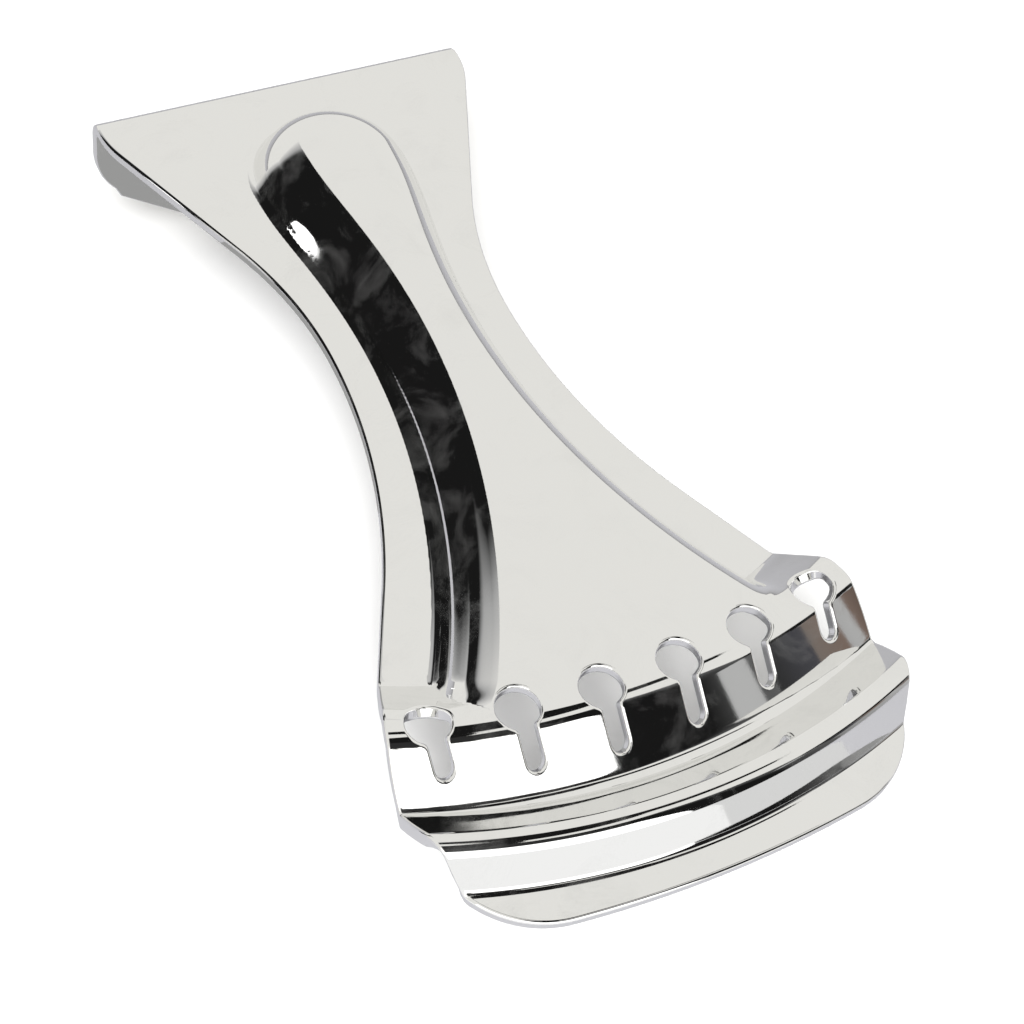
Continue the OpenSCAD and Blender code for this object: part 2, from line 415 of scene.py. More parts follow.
def front_rows():
    """Rows of points that follow the arcs of the ramp, the slope and the ridge."""
    radii = np.arange(bend_start, bend_end, row_step)
    bearings = np.arange(-widest_bearing, widest_bearing, along_step / valley_r)
    radius, bearing = np.meshgrid(radii, bearings)
    x = (radius * np.sin(bearing)).ravel()
    y = front_y + (radius * np.cos(bearing)).ravel()
    return np.column_stack([x, y])


front = front_rows()
fine = lattice(fine_step)
bends = will_bend(fine[:, 0], fine[:, 1]) & ~in_front(fine[:, 0], fine[:, 1])
fine = fine[bends]
coarse = lattice(coarse_step)
flat = ~will_bend(coarse[:, 0], coarse[:, 1]) & ~in_front(coarse[:, 0], coarse[:, 1])
coarse = coarse[flat]
print("points laid:", len(front), "on the arcs,", len(fine), "fine,", len(coarse), "coarse")

# %% Keep the points that are clear of the edges
face_loops = [edge[0][0][:, :2] for edge in edges]
rim_tree = kdtree.KDTree(sum(len(loop) for loop in face_loops))
for index, point in enumerate(np.concatenate(face_loops)):
    rim_tree.insert((point[0], point[1], 0), index)
rim_tree.balance()


def clear_of_rim(points, step):
    """Keeps the points inside the blank that are not too close to an edge."""
    keep = inside(points, face_loops[0])
    for loop in face_loops[1:]:
        keep &= ~inside(points, loop)
    points = points[keep]
    near = np.array([rim_tree.find((p[0], p[1], 0))[2] for p in points])
    return points[near > step]


inner = np.concatenate([
    clear_of_rim(front, 0.6 * row_step),
    clear_of_rim(fine, 0.6 * fine_step),
    clear_of_rim(coarse, 0.35 * coarse_step),
])
print("points inside the blank:", len(inner))

# %% Join the points into triangles
# Slivers below this, in twice their area, have no surface worth keeping.
thinnest = 1e-6 * mm**2
flat_points = np.concatenate([*face_loops, inner])
loop_edges = []
start = 0
for loop in face_loops:
    count = len(loop)
    loop_edges += [(start + i, start + (i + 1) % count) for i in range(count)]
    start += count
cdt = delaunay_2d_cdt([Vector(p / mm) for p in flat_points], loop_edges, [], 0, 1e-5)
made_points, made_faces = cdt[0], np.array(cdt[2])
if len(made_points) != len(flat_points):
    raise ValueError(f"the triangulation gave {len(made_points)} points, not {len(flat_points)}")
source = np.array([ids[0] for ids in cdt[3]])
triangles = source[made_faces]
middles = flat_points[triangles].mean(axis=1)
keep = inside(middles, face_loops[0])
for loop in face_loops[1:]:
    keep &= ~inside(middles, loop)
triangles = triangles[keep]
a, b, c = (flat_points[triangles[:, k]] for k in range(3))
ab, ac = b - a, c - a
twice_area = ab[:, 0] * ac[:, 1] - ab[:, 1] * ac[:, 0]
triangles[twice_area < 0] = triangles[twice_area < 0][:, ::-1]
solid = abs(twice_area) > thinnest
triangles = triangles[solid]
print("triangles on one face:", len(triangles), "and slivers dropped:", np.count_nonzero(~solid))

# %% [markdown]
# ## The blank as a solid
#
# The upper and lower face share one triangulation, and strips of quads close the edges between
# them. Each point also carries the direction its surface faces while the sheet is still flat.

# %% Build the flat blank
face_count = len(flat_points)
points = [np.column_stack([flat_points, np.zeros(face_count)])]
points.append(np.column_stack([flat_points, np.full(face_count, -sheet)]))
normals = [np.tile([0.0, 0.0, 1.0], (face_count, 1)), np.tile([0.0, 0.0, -1.0], (face_count, 1))]
faces = [tuple(t) for t in triangles] + [tuple(t[::-1] + face_count) for t in triangles]

start = 0
total = 2 * face_count
for which, edge in enumerate(edges):
    count = len(edge[0][0])
    rings = [start + np.arange(count)]
    for row_points, row_normals in edge[1:-1]:
        rings.append(total + np.arange(count))
        points.append(row_points)
        normals.append(row_normals)
        total += count
    rings.append(face_count + start + np.arange(count))
    for upper, lower in zip(rings, rings[1:]):
        quads = np.stack([upper, lower, np.roll(lower, -1), np.roll(upper, -1)], axis=1)
        faces += [tuple(q) for q in (quads if which == 0 else quads[:, ::-1])]
    start += count

blank_mesh = bpy.data.meshes.new("blank")
blank_mesh.from_pydata(np.concatenate(points), [], faces)
flat_facing = blank_mesh.attributes.new("flat_facing", "FLOAT_VECTOR", "POINT")
flat_facing.data.foreach_set("vector", np.concatenate(normals).ravel())
blank_mesh.shade_smooth()
blank = bpy.data.objects.new("blank", blank_mesh)
scene.collection.objects.link(blank)
print("blank:", len(blank_mesh.vertices), "points,", len(blank_mesh.polygons), "faces")

# %% [markdown]
# ## Arithmetic that adds nodes
#
# The press is one rule: how high the sheet stands at each place. Geometry Nodes can hold such a
# rule, and its sizes stay open as named inputs. Wiring some two hundred Math nodes by hand is
# slow, so a small helper lets plain arithmetic on a socket add the nodes.

# %% A socket that does arithmetic
class Field:
    """A number worked out by nodes. Arithmetic on it adds Math nodes to its tree."""

    def __init__(self, tree, socket):
        self.tree = tree
        self.socket = socket

    def __add__(self, other):
        return math_node("ADD", self, other)

    def __sub__(self, other):
        return math_node("SUBTRACT", self, other)

    def __rsub__(self, other):
        return math_node("SUBTRACT", other, self, tree=self.tree)

    def __mul__(self, other):
        return math_node("MULTIPLY", self, other)

    def __truediv__(self, other):
        return math_node("DIVIDE", self, other)

    __radd__ = __add__
    __rmul__ = __mul__


def math_node(operation, *values, tree=None):
    """One Math node; each value is a Field or a plain number."""
    tree = tree or values[0].tree
    node = tree.nodes.new("ShaderNodeMath")
    node.operation = operation
    plug(tree, node, *values)
    return Field(tree, node.outputs[0])


def plug(tree, node, *values):
    """Link Fields to a node's inputs in order, and set plain numbers on them."""
    for value, socket in zip(values, node.inputs):
        if isinstance(value, Field):
            tree.links.new(value.socket, socket)
        else:
            socket.default_value = value


print("a Field adds its own Math nodes")


# %% Roots, limits and angles
def root(value):
    return math_node("SQRT", math_node("MAXIMUM", value, 0.0))


def between(value, low, high):
    """The value, held between two limits."""
    return math_node("MINIMUM", math_node("MAXIMUM", value, low), high)


def distance(x, y):
    return root(x * x + y * y)


def sine(angle):
    return math_node("SINE", angle)


def cosine(angle):
    return math_node("COSINE", angle)


def tangent(angle):
    return math_node("TANGENT", angle)


print("six more sums ready for Fields")


# %% Make a node group
def new_tree(title, inputs, outputs):
    """A node group with named number inputs, its Group Input fields and its output node."""
    tree = bpy.data.node_groups.new(title, "GeometryNodeTree")
    for name, kind in inputs:
        tree.interface.new_socket(name, in_out="INPUT", socket_type=kind)
    for name, kind in outputs:
        tree.interface.new_socket(name, in_out="OUTPUT", socket_type=kind)
    given = tree.nodes.new("NodeGroupInput")
    fields = {name: Field(tree, given.outputs[name]) for name, kind in inputs}
    return tree, fields, tree.nodes.new("NodeGroupOutput")


def use_group(group, tree, values, output):
    """Place a node group in a tree, feed its inputs by name and return one output."""
    node = tree.nodes.new("GeometryNodeGroup")
    node.node_tree = group
    for name, value in values.items():
        if isinstance(value, Field):
            tree.links.new(value.socket, node.inputs[name])
        else:
            node.inputs[name].default_value = value
    return Field(tree, node.outputs[output])


float_socket = "NodeSocketFloat"
print("node groups take inputs of kind", float_socket)

# %% [markdown]
# ## One pressed wall
#
# Every wall of the pressing has the same profile: flat sheet, a rounded foot, a straight slope,
# a rounded brow and flat sheet again. The group takes how far a point lies past the foot and
# gives the height there. Three clamped pieces add up to the profile, so it needs no switches.

# %% Build the wall profile group
wall_sizes = ("Distance", "Rise", "Angle", "First radius", "Second radius")
wall_group, at, out = new_tree(
    "pressed wall",
    [(name, float_socket) for name in wall_sizes],
    [("Height", float_socket)],
)
first_run = at["First radius"] * sine(at["Angle"])
second_run = at["Second radius"] * sine(at["Angle"])
rounds = (at["First radius"] + at["Second radius"]) * (1.0 - cosine(at["Angle"]))
straight_run = (at["Rise"] - rounds) / tangent(at["Angle"])
into_first = between(at["Distance"], 0.0, first_run)
foot = at["First radius"] - root(at["First radius"] * at["First radius"] - into_first * into_first)
along_slope = between(at["Distance"] - first_run, 0.0, straight_run) * tangent(at["Angle"])
before_end = between(first_run + straight_run + second_run - at["Distance"], 0.0, second_run)
brow = root(at["Second radius"] * at["Second radius"] - before_end * before_end)
brow = brow - at["Second radius"] * cosine(at["Angle"])
wall_group.links.new((foot + along_slope + brow).socket, out.inputs["Height"])
print("wall profile:", len(wall_group.nodes), "nodes")

# %% [markdown]
# ## The height of the pressing
#
# The tongue, the string band, the slope and the front ridge are four such rules. The higher of
# tongue and band wins, then the lower of that and the slope, then the higher of that and the
# ridge. Smooth minimum and maximum nodes give the small blends that real dies have. A smooth
# maximum also lifts places where both sides are flat, so the blend is let in only on the walls.
#
# On the lip the valley's level is the higher side of the last smooth maximum, so the lip comes
# out at about 0.93 mm and not at its own named height.

# %% Open the height group
tongue_blend = 2.9 * mm
ramp_blend = 3 * mm
valley_blend = 0.6 * mm
below_all = 20 * mm
ridge_reach = 8 * mm

height_sizes = [name for name in press if not name.startswith(("Fold", "Plate"))]
height_group, at, out = new_tree(
    "pressed height",
    [(name, float_socket) for name in ("X", "Y", *height_sizes)],
    [("Height", float_socket)],
)
tree = height_group


def wall(run, rise, angle, first, second):
    """The wall profile group, placed in the height group."""
    values = dict(zip(wall_sizes, (run, rise, angle, first, second)))
    return use_group(wall_group, tree, values, "Height")


def corner_run(radius, angle):
    """How far before a corner its rounding starts."""
    return radius * tangent(angle * 0.5)


print("the height group takes", len(height_sizes), "sizes")

# %% Tongue and band
across = math_node("ABSOLUTE", at["X"])
side_axis = at["Tongue half width"] + at["Tongue side radius"]
side = distance(side_axis - across, at["Y"] - at["Tongue waist"]) - at["Tongue side radius"]
behind_nose = math_node("MINIMUM", at["Y"] - at["Nose centre"], 0.0)
ahead_of_waist = math_node("MAXIMUM", at["Y"] - at["Tongue waist"], 0.0)
nose = at["Nose radius"] - distance(at["X"], behind_nose) + ahead_of_waist
tongue_edge = math_node("SMOOTH_MIN", side, nose, tongue_blend)
tongue = wall(
    tongue_edge, at["Raised height"], at["Wall angle"], at["Foot radius"], at["Tongue brow radius"]
)

from_front = distance(at["X"], at["Y"] - at["Front axis"])
band = wall(
    from_front - at["Ramp radius"],
    at["Raised height"],
    at["Ramp angle"],
    at["Foot radius"],
    at["Brow radius"],
)
higher = math_node("MAXIMUM", tongue, band)
blended = math_node("SMOOTH_MAX", tongue, band, ramp_blend)
share = (tongue + band) / (at["Raised height"] * 2.0)
only_on_walls = share * (1.0 - share) * 4.0
body = higher + (blended - higher) * only_on_walls
print("after the tongue and the band:", len(tree.nodes), "nodes")

# %% Slope, ridge and lip
drop = at["Raised height"] - at["Valley height"]
slope_angle = math_node("ARCTANGENT", drop / (at["Valley"] - at["Slope top"]))
slope_centre = at["Slope top"] - at["Slope top radius"]
past_top = distance(at["X"], at["Y"] - slope_centre) - at["Slope top radius"]
slope = at["Raised height"] - wall(
    past_top + corner_run(at["Brow radius"], slope_angle),
    drop,
    slope_angle,
    at["Brow radius"],
    at["Valley radius"],
)
behind_ridge = math_node("MINIMUM", body, slope)

ridge_rise = at["Ridge height"] - at["Valley height"]
ridge_fall = at["Ridge height"] - at["Lip height"]
rear = at["Valley"] - at["Front axis"] + at["Valley width"]
crest = rear + ridge_rise / tangent(at["Ridge rear angle"]) + at["Ridge width"]
climb = wall(
    from_front - rear + corner_run(at["Valley radius"], at["Ridge rear angle"]),
    ridge_rise,
    at["Ridge rear angle"],
    at["Valley radius"],
    at["Ridge radius"],
)
descent = wall(
    from_front - crest + corner_run(at["Ridge radius"], at["Ridge front angle"]),
    ridge_fall,
    at["Ridge front angle"],
    at["Ridge radius"],
    at["Valley radius"],
)
far_behind = math_node("LESS_THAN", from_front, rear - ridge_reach)
ridge = at["Valley height"] + climb - descent - far_behind * below_all
height = math_node("SMOOTH_MAX", behind_ridge, ridge, valley_blend)
tree.links.new(height.socket, out.inputs["Height"])
print("pressed height:", len(tree.nodes), "nodes")

# %% [markdown]
# ## Press and fold
#
# The last tree moves every point of the blank. It reads the height at the point and a little to
# each side, which gives the direction the sheet faces there, and lays the lower face and the
# rounded edges one sheet's thickness along that direction. Behind the fold line the same sheet
# is wrapped round a quarter circle and runs on downwards as the hanger.
#
# A chrome mirror shows every wobble in the mesh's own averaged normals, so the tree also sets
# exact ones.

# %% Vector helpers
def vector_node(operation, a, b=None):
    """One Vector Math node on Fields."""
    node = a.tree.nodes.new("ShaderNodeVectorMath")
    node.operation = operation
    a.tree.links.new(a.socket, node.inputs[0])
    if operation == "SCALE":
        a.tree.links.new(b.socket, node.inputs["Scale"])
    elif b is not None:
        a.tree.links.new(b.socket, node.inputs[1])
    return Field(a.tree, node.outputs[0])


def combine(tree, x, y, z):
    """A vector from three Fields or numbers."""
    node = tree.nodes.new("ShaderNodeCombineXYZ")
    plug(tree, node, x, y, z)
    return Field(tree, node.outputs[0])


def separate(value):
    """The three parts of a vector Field."""
    node = value.tree.nodes.new("ShaderNodeSeparateXYZ")
    value.tree.links.new(value.socket, node.inputs[0])
    return [Field(value.tree, socket) for socket in node.outputs]


print("vector helpers ready")

# %% Build the press
tree, at, out = new_tree(
    "press and fold",
    [("Geometry", "NodeSocketGeometry"), *[(name, float_socket) for name in press]],
    [("Geometry", "NodeSocketGeometry")],
)
probe = 0.1 * mm
place = Field(tree, tree.nodes.new("GeometryNodeInputPosition").outputs[0])
x, run, flat_z = separate(place)


def height_at(x_here, y_here):
    values = {"X": x_here, "Y": y_here}
    values.update({name: at[name] for name in height_sizes})
    return use_group(height_group, tree, values, "Height")


height = height_at(x, run)
slope_x = (height_at(x + probe, run) - height_at(x - probe, run)) / (2 * probe)
slope_y = (height_at(x, run + probe) - height_at(x, run - probe)) / (2 * probe)

turn = between((at["Fold inner radius"] - run) / at["Fold outer radius"], 0.0, math.pi / 2)
fold_stop = at["Fold inner radius"] - at["Fold outer radius"] * (math.pi / 2)
hanging = math_node("MAXIMUM", fold_stop - run, 0.0)
level = math_node("MAXIMUM", run, at["Fold inner radius"])
base_y = level - at["Fold outer radius"] * sine(turn)
base_z = at["Plate top"] - at["Fold outer radius"] * (1.0 - cosine(turn)) - hanging

base = combine(tree, x, base_y, base_z)
sideways = combine(tree, 1.0, 0.0, 0.0)
forwards = combine(tree, 0.0, cosine(turn), sine(turn))
upwards = combine(tree, 0.0, sine(turn) * -1.0, cosine(turn))

along_x = vector_node("ADD", sideways, vector_node("SCALE", upwards, slope_x))
along_y = vector_node("ADD", forwards, vector_node("SCALE", upwards, slope_y))
stretched = vector_node("CROSS_PRODUCT", along_x, along_y)
facing = vector_node("NORMALIZE", stretched)

moved = vector_node("ADD", base, vector_node("SCALE", upwards, height))
moved = vector_node("ADD", moved, vector_node("SCALE", facing, flat_z))
print("press, before its normals:", len(tree.nodes), "nodes")

# %% Turn the blank's own normals with the sheet
read = tree.nodes.new("GeometryNodeInputNamedAttribute")
read.data_type = "FLOAT_VECTOR"
read.inputs["Name"].default_value = "flat_facing"
flat_x, flat_y, flat_up = separate(Field(tree, read.outputs[0]))
turned = vector_node("SCALE", vector_node("CROSS_PRODUCT", along_y, facing), flat_x)
turned = vector_node(
    "ADD", turned, vector_node("SCALE", vector_node("CROSS_PRODUCT", facing, along_x), flat_y)
)
turned = vector_node("ADD", turned, vector_node("SCALE", stretched, flat_up))
turned = vector_node("NORMALIZE", turned)
print("press, with its normals:", len(tree.nodes), "nodes")

# %% Join the press's last nodes
set_place = tree.nodes.new("GeometryNodeSetPosition")
store = tree.nodes.new("GeometryNodeStoreNamedAttribute")
store.data_type = "FLOAT_VECTOR"
store.inputs["Name"].default_value = "facing"
set_normal = tree.nodes.new("GeometryNodeSetMeshNormal")
set_normal.mode = "FREE"
realize = tree.nodes.new("GeometryNodeRealizeInstances")
set_material = tree.nodes.new("GeometryNodeSetMaterial")
tree.links.new(at["Geometry"].socket, store.inputs["Geometry"])
tree.links.new(turned.socket, store.inputs["Value"])
tree.links.new(store.outputs[0], set_place.inputs["Geometry"])
tree.links.new(moved.socket, set_place.inputs["Position"])
read_back = tree.nodes.new("GeometryNodeInputNamedAttribute")
read_back.data_type = "FLOAT_VECTOR"
read_back.inputs["Name"].default_value = "facing"
tree.links.new(set_place.outputs[0], set_normal.inputs["Mesh"])
tree.links.new(read_back.outputs[0], set_normal.inputs["Custom Normal"])
tree.links.new(set_normal.outputs[0], realize.inputs[0])
tree.links.new(realize.outputs[0], set_material.inputs["Geometry"])
tree.links.new(set_material.outputs[0], out.inputs["Geometry"])
press_tree = tree
print("press and fold:", len(tree.nodes), "nodes")

# %% [markdown]
# ## The chrome
#
# Decorative chrome is a thin bright metal over polished steel. Almost all its look is what it
# reflects. What gives it away as real are small faults: faint polishing lines under the plate,
# a little waviness in the sheet, and a thin haze of handling marks. The haze and the waves are
# one node group, so the same effect could be used on other plated parts.

# %% Build the surface-fault group
fault_group = bpy.data.node_groups.new("polish faults", "ShaderNodeTree")
for name in ("Wave size", "Haze size", "Haze"):
    fault_group.interface.new_socket(name, in_out="INPUT", socket_type=float_socket)
for name in ("Waves", "Haze mask", "Lines"):
    fault_group.interface.new_socket(name, in_out="OUTPUT", socket_type=float_socket)
nodes, links = fault_group.nodes, fault_group.links
given, result = nodes.new("NodeGroupInput"), nodes.new("NodeGroupOutput")
where = nodes.new("ShaderNodeTexCoord")

waves = nodes.new("ShaderNodeTexNoise")
waves.inputs["Detail"].default_value = 1.0
waves.inputs["Roughness"].default_value = 0.35
links.new(where.outputs["Object"], waves.inputs["Vector"])
links.new(given.outputs["Wave size"], waves.inputs["Scale"])
links.new(waves.outputs["Fac"], result.inputs["Waves"])

haze = nodes.new("ShaderNodeTexNoise")
haze.inputs["Detail"].default_value = 6.0
haze.inputs["Roughness"].default_value = 0.68
haze.inputs["Distortion"].default_value = 0.6
links.new(where.outputs["Object"], haze.inputs["Vector"])
links.new(given.outputs["Haze size"], haze.inputs["Scale"])
haze_range = nodes.new("ShaderNodeMapRange")
haze_range.inputs["From Min"].default_value = 0.5
haze_range.inputs["From Max"].default_value = 0.78
links.new(haze.outputs["Fac"], haze_range.inputs["Value"])
haze_amount = nodes.new("ShaderNodeMath")
haze_amount.operation = "MULTIPLY"
links.new(haze_range.outputs["Result"], haze_amount.inputs[0])
links.new(given.outputs["Haze"], haze_amount.inputs[1])
links.new(haze_amount.outputs[0], result.inputs["Haze mask"])

stretch = nodes.new("ShaderNodeMapping")
stretch.inputs["Scale"].default_value = (9000, 260, 9000)
links.new(where.outputs["Object"], stretch.inputs["Vector"])
grain = nodes.new("ShaderNodeTexNoise")
grain.inputs["Scale"].default_value = 1.0
grain.inputs["Detail"].default_value = 2.0
links.new(stretch.outputs["Vector"], grain.inputs["Vector"])
links.new(grain.outputs["Fac"], result.inputs["Lines"])
print("polish faults:", len(nodes), "nodes")

# %% Build the chrome material
chrome = bpy.data.materials.new("chromed_steel")
chrome.use_nodes = True
nodes, links = chrome.node_tree.nodes, chrome.node_tree.links
shader = nodes["Principled BSDF"]
faults = nodes.new("ShaderNodeGroup")
faults.node_tree = fault_group
faults.inputs["Wave size"].default_value = 70
faults.inputs["Haze size"].default_value = 130
faults.inputs["Haze"].default_value = 1.0

tint = nodes.new("ShaderNodeMix")
tint.data_type = "RGBA"
tint.inputs["A"].default_value = (0.87, 0.87, 0.86, 1)
tint.inputs["B"].default_value = (0.80, 0.80, 0.79, 1)
links.new(faults.outputs["Haze mask"], tint.inputs["Factor"])
links.new(tint.outputs["Result"], shader.inputs["Base Color"])

gloss = nodes.new("ShaderNodeMapRange")
gloss.inputs["To Min"].default_value = 0.035
gloss.inputs["To Max"].default_value = 0.13
links.new(faults.outputs["Haze mask"], gloss.inputs["Value"])
links.new(gloss.outputs["Result"], shader.inputs["Roughness"])

film = nodes.new("ShaderNodeMapRange")
film.inputs["To Min"].default_value = 1.0
film.inputs["To Max"].default_value = 0.94
links.new(faults.outputs["Haze mask"], film.inputs["Value"])
links.new(film.outputs["Result"], shader.inputs["Metallic"])

line_bump = nodes.new("ShaderNodeBump")
line_bump.inputs["Distance"].default_value = 0.000002
line_bump.inputs["Strength"].default_value = 0.2
links.new(faults.outputs["Lines"], line_bump.inputs["Height"])
wave_bump = nodes.new("ShaderNodeBump")
wave_bump.inputs["Distance"].default_value = 0.00002
wave_bump.inputs["Strength"].default_value = 1.0
links.new(faults.outputs["Waves"], wave_bump.inputs["Height"])
links.new(line_bump.outputs["Normal"], wave_bump.inputs["Normal"])
links.new(wave_bump.outputs["Normal"], shader.inputs["Normal"])
print("chrome:", len(nodes), "nodes")

# %% [markdown]
# ## Run the press
#
# The modifier's inputs are set by their identifiers, then the evaluated result is kept as a
# plain mesh and the modifier is removed.

# %% Press the blank
set_material.inputs["Material"].default_value = chrome
modifier = blank.modifiers.new("press and fold", "NODES")
modifier.node_group = press_tree
for item in press_tree.interface.items_tree:
    if item.in_out == "INPUT" and item.name in press:
        modifier[item.identifier] = press[item.name]
bpy.context.view_layer.update()
graph = bpy.context.evaluated_depsgraph_get()
piece_mesh = bpy.data.meshes.new_from_object(blank.evaluated_get(graph), depsgraph=graph)
piece_mesh.name = "pressed_tailpiece"
bpy.data.objects.remove(blank)
piece = bpy.data.objects.new("pressed_tailpiece", piece_mesh)
scene.collection.objects.link(piece)
print("custom normals kept:", piece_mesh.has_custom_normals)
places = np.empty(3 * len(piece_mesh.vertices))
piece_mesh.vertices.foreach_get("co", places)
places = places.reshape(-1, 3)
print("pressed box in mm:", (places.min(axis=0) / mm).round(2), (places.max(axis=0) / mm).round(2))

# %% Give it to the frame
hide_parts("tailpiece_plate")
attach(piece, "root")
print(piece.name, "rides on root and stands for tailpiece_plate")

# %% [markdown]
# ## The studio
#
# Chrome shows its room, so the room is designed for it: a pale floor, an even pale tent, and
# cards. The floor is plain paper. A Light Path node gives reflections a darker paper than the
# camera sees, so the flat faces of the chrome do not wash out.

# %% Floor
low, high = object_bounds()
middle = (low + high) / 2
floor_size = 3.0
floor_mesh = bpy.data.meshes.new("floor")
half = floor_size / 2
floor_mesh.from_pydata(
    [(-half, -half, low.z), (half, -half, low.z), (half, half, low.z), (-half, half, low.z)],
    [],
    [(0, 1, 2, 3)],
)
floor = bpy.data.objects.new("floor", floor_mesh)
scene.collection.objects.link(floor)
paper = bpy.data.materials.new("pale_paper")
paper.use_nodes = True
nodes, links = paper.node_tree.nodes, paper.node_tree.links
nodes["Principled BSDF"].inputs["Roughness"].default_value = 0.8
path = nodes.new("ShaderNodeLightPath")
paper_tone = nodes.new("ShaderNodeMix")
paper_tone.data_type = "RGBA"
paper_tone.inputs["A"].default_value = (0.92, 0.92, 0.92, 1)
paper_tone.inputs["B"].default_value = (0.42, 0.42, 0.45, 1)
links.new(path.outputs["Is Glossy Ray"], paper_tone.inputs["Factor"])
links.new(paper_tone.outputs["Result"], nodes["Principled BSDF"].inputs["Base Color"])
floor_mesh.materials.append(paper)
print("floor:", floor_size, "m square at height", round(low.z / mm, 1), "mm")

# %% [markdown]
# ## The tent
#
# A tent is a pale cloth box that gives the same soft light from all round. The world's
# background does that with no mesh. It is brighter to reflections than to the paper and the
# lamp-lit faces, so the chrome stays bright while the floor keeps a little shade.

# %% Tent
room_light = 0.55
tent_tone = 0.86
world = bpy.data.worlds.new("tent")
scene.world = world
world.use_nodes = True
nodes, links = world.node_tree.nodes, world.node_tree.links
path = nodes.new("ShaderNodeLightPath")
strength = nodes.new("ShaderNodeMapRange")
strength.inputs["To Min"].default_value = room_light
strength.inputs["To Max"].default_value = tent_tone
links.new(path.outputs["Is Glossy Ray"], strength.inputs["Value"])
links.new(strength.outputs["Result"], nodes["Background"].inputs["Strength"])
nodes["Background"].inputs["Color"].default_value = (1, 0.99, 0.955, 1)
print("tent:", room_light, "as light and", tent_tone, "in reflections")

# %% [markdown]
# ## The cards
#
# White cards give clean bright faces and black ones draw the dark bands that make the shape
# readable. Only reflections see them. A far card sits by direction alone, but a near one shifts
# along the piece as a real card on a stand does, so the card beside the tongue is near and
# bent over. A card's tone is an attribute on its points, which lets it fade from end to end.
#
# The cards are set for this one camera. From above, from the sides and from behind, their
# straight edges show as hard dark blocks on the flat parts, so another view needs other cards.

# %% Card paper
card_paper = bpy.data.materials.new("card_paper")
card_paper.use_nodes = True
nodes, links = card_paper.node_tree.nodes, card_paper.node_tree.links
shader = nodes["Principled BSDF"]
shader.inputs["Base Color"].default_value = (0, 0, 0, 1)
shader.inputs["Specular IOR Level"].default_value = 0.0
shader.inputs["Roughness"].default_value = 1.0
shader.inputs["Emission Strength"].default_value = 1.0
tone_read = nodes.new("ShaderNodeAttribute")
tone_read.attribute_name = "tone"
links.new(tone_read.outputs["Color"], shader.inputs["Emission Color"])
print("card paper:", len(nodes), "nodes")

# %% Shapes of card
card_far = 1.2
card_steps = 16


def add_card(name, places, start, end):
    """A card from rows of places, seen only by reflections. Its tone runs from start to end."""
    side = card_steps + 1
    quads = [
        (i, i + 1, i + side + 1, i + side)
        for row in range(len(places) // side - 1)
        for i in range(row * side, row * side + card_steps)
    ]
    mesh = bpy.data.meshes.new(name)
    mesh.from_pydata(places, [], quads)
    mesh.shade_smooth()
    tone = mesh.attributes.new("tone", "FLOAT_VECTOR", "POINT")
    tones = np.linspace(start, end, side)
    tone.data.foreach_set("vector", np.tile(tones, (len(places) // side, 1)).ravel())
    mesh.materials.append(card_paper)
    patch = bpy.data.objects.new(name, mesh)
    scene.collection.objects.link(patch)
    patch.visible_camera = False
    patch.visible_diffuse = False
    patch.visible_shadow = False
    patch.visible_transmission = False


def standing(name, rows, start, end, far=card_far):
    """A curved card. Each row is an elevation with the azimuths where the card starts and ends,
    in degrees seen from the middle of the piece; 0 is towards +Y and 90 towards +X."""
    rises = np.arange(rows[0][0], rows[-1][0] + 1, 2)
    known = [row[0] for row in rows]
    starts = np.interp(rises, known, [row[1] for row in rows])
    ends = np.interp(rises, known, [row[2] for row in rows])
    places = []
    for rise, first, last in zip(np.radians(rises), starts, ends):
        for turn in np.radians(np.linspace(first, last, card_steps + 1)):
            flat = math.cos(rise)
            away = Vector((math.sin(turn) * flat, math.cos(turn) * flat, math.sin(rise)))
            places.append(middle + far * away)
    add_card(name, places, start, end)


def lying(name, azimuth, reach, tone, lift=0.2 * mm):
    """A flat card on the floor between two azimuths and two distances."""
    places = []
    for distance_out in reach:
        for turn in np.radians(np.linspace(*azimuth, card_steps + 1)):
            x = middle.x + distance_out * math.sin(turn)
            y = middle.y + distance_out * math.cos(turn)
            places.append(Vector((x, y, low.z + lift)))
    add_card(name, places, tone, tone)


def folded(name, rows, start, end):
    """A card bent from upright to level. Each row is an X, a height and two ends along Y."""
    places = []
    for x, z, first, last in rows:
        for y in np.linspace(first, last, card_steps + 1):
            places.append(Vector((x, y, z)))
    add_card(name, places, start, end)


print("three shapes of card, each", card_steps, "steps wide")

# %% Card tones
black = (0.01, 0.01, 0.01)
dark = (0.03, 0.03, 0.03)
grey = (0.5, 0.5, 0.5)
pale = (0.62, 0.62, 0.62)
brown = (0.20, 0.145, 0.12)
white = (1.8, 1.8, 1.8)
half_grey = (0.42, 0.42, 0.42)
near_tent = (0.82, 0.81, 0.79)
print("brightest card:", white[0])

# %% The near cards
side_rows = [
    (0.1, low.z, -0.051, 0.01),
    (0.1, 0.05, -0.056, 0.01),
    (0.1, 0.085, -0.064, 0.008),
    (0.067, 0.085, -0.049, -0.002),
    (0.046, 0.085, -0.039, 0.007),
    (0.033, 0.085, -0.035, 0.013),
    (0.015, 0.085, -0.031, 0.03),
    (0.003, 0.085, -0.029, 0.035),
]
soft = 0.01


def rear_strip(near, far):
    """A strip along the dark card's rear edge, between two distances from it."""
    return [(x, z, first - near, first - far) for x, z, first, last in side_rows]


def front_strip(near, far):
    """The same along its front edge, where the card is level."""
    return [(x, z, last + near, last + far) for x, z, first, last in side_rows[2:]]


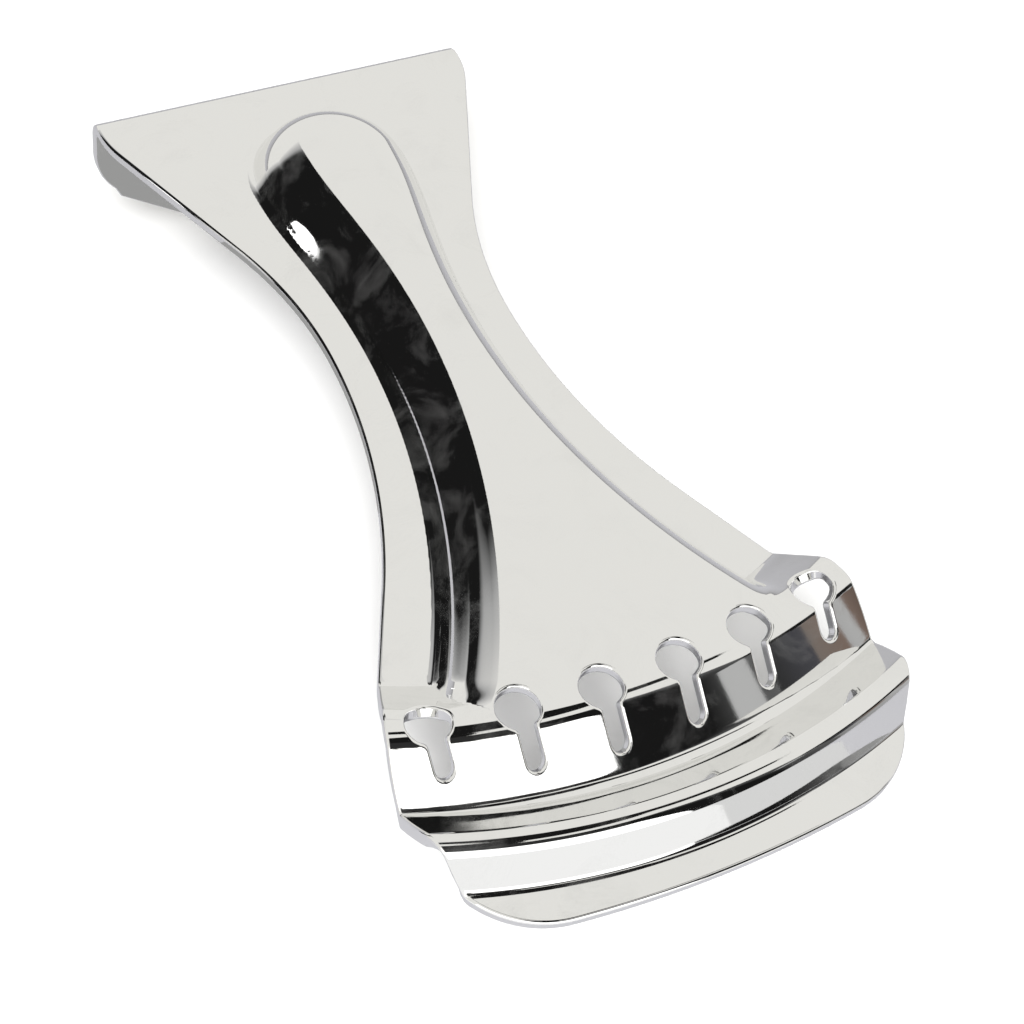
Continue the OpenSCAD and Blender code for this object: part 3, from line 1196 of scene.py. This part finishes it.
folded("dark_side", side_rows, black, black)
folded("side_rear_fade", rear_strip(0, soft), black, half_grey)
folded("side_rear_grey", rear_strip(soft, 3 * soft), half_grey, near_tent)
folded("side_front_fade", front_strip(0, soft), black, half_grey)
folded("side_front_grey", front_strip(soft, 3 * soft), half_grey, near_tent)
spot_rows = [
    (0.045, 0.014, 0.007, 0.0145),
    (0.045, 0.02, 0.008, 0.014),
    (0.045, 0.0245, 0.0105, 0.0125),
]
folded("white_spot", spot_rows, white, white)
print("the near card starts", side_rows[0][0], "m from the centre line")

# %% The far cards
standing("dark_front", [(-1, -33, -20), (62, -33, -20)], black, black)
standing("front_fade", [(-1, -42, -33), (62, -42, -33)], (0.12, 0.12, 0.12), black)
standing("grey_front", [(-1, -62, -42), (34, -62, -42)], pale, (0.25, 0.25, 0.25))
standing("white_front", [(-1, -20, 60), (41, -20, 60)], white, white)
standing("dark_gap", [(42, -20, 16), (62, -20, 16)], dark, dark)
standing(
    "dark_top",
    [(62, -104, -85), (64, -114, -85), (67, -126, -85), (69, -131, -85), (72, -145, -85)]
    + [(80, -145, -85)],
    black,
    black,
)
standing("dark_top_middle", [(70, -85, -25), (80, -85, -25)], black, black)
standing("dark_top_right", [(62, -12, 16), (70, -25, 16), (80, -25, 16)], black, black)
near_far = 1.1
standing("front_patch_a", [(26, -40, -36), (30, -40, -36)], grey, grey, near_far)
standing("front_patch_b", [(18, -48, -42), (28, -48, -42)], (0.07, 0.07, 0.08), dark, near_far)
standing("front_patch_c", [(18, -52, -48), (26, -52, -48)], brown, (0.2, 0.17, 0.15), near_far)
standing("front_patch_d", [(15, -60, -54), (24, -60, -54)], black, brown, near_far)
standing(
    "front_line",
    [(24, -62, -56), (27, -62, -46), (30, -62, -41), (34, -62, -41)],
    black,
    black,
    near_far,
)
print("far cards stand", card_far, "m away")

# %% The cards on the floor
lying("white_ground", (-20, 60), (0.08, 1.2), (1.0, 1.0, 1.0))
lying("grey_ground", (-36, -20), (0.12, 1.2), (0.75, 0.75, 0.75))
# A grey card under the plate that only reflections see. It is painted shade: it stands in for the
# floor's shadow beneath the plate, so the hanger's inner face reflects a darker floor.
lying("painted_shade_under_plate", (130, 230), (0.01, 0.062), (0.36, 0.36, 0.36))

# %% [markdown]
# ## The lamp
#
# One round softbox from the camera's side lights the paper. A chrome surface would show it as a
# hard white disc, so reflections do not see it. A sun lamp would give a sharp shadow instead.

# %% Soft light from above
lamp_far = 0.8
lamp_size = 0.3
lamp_power = 8
lamp_data = bpy.data.lights.new("softbox", "AREA")
lamp_data.shape = "DISK"
lamp_data.size = lamp_size
lamp_data.energy = lamp_power
lamp = bpy.data.objects.new("softbox", lamp_data)
lamp_way = Vector((0.32, 0.47, 0.81)).normalized()
lamp.location = middle + lamp_way * lamp_far
lamp.rotation_euler = lamp_way.to_track_quat("Z", "Y").to_euler()
lamp.visible_glossy = False
scene.collection.objects.link(lamp)
scene.view_settings.view_transform = "Standard"
print("softbox:", lamp_power, "W, from", lamp_far, "m")
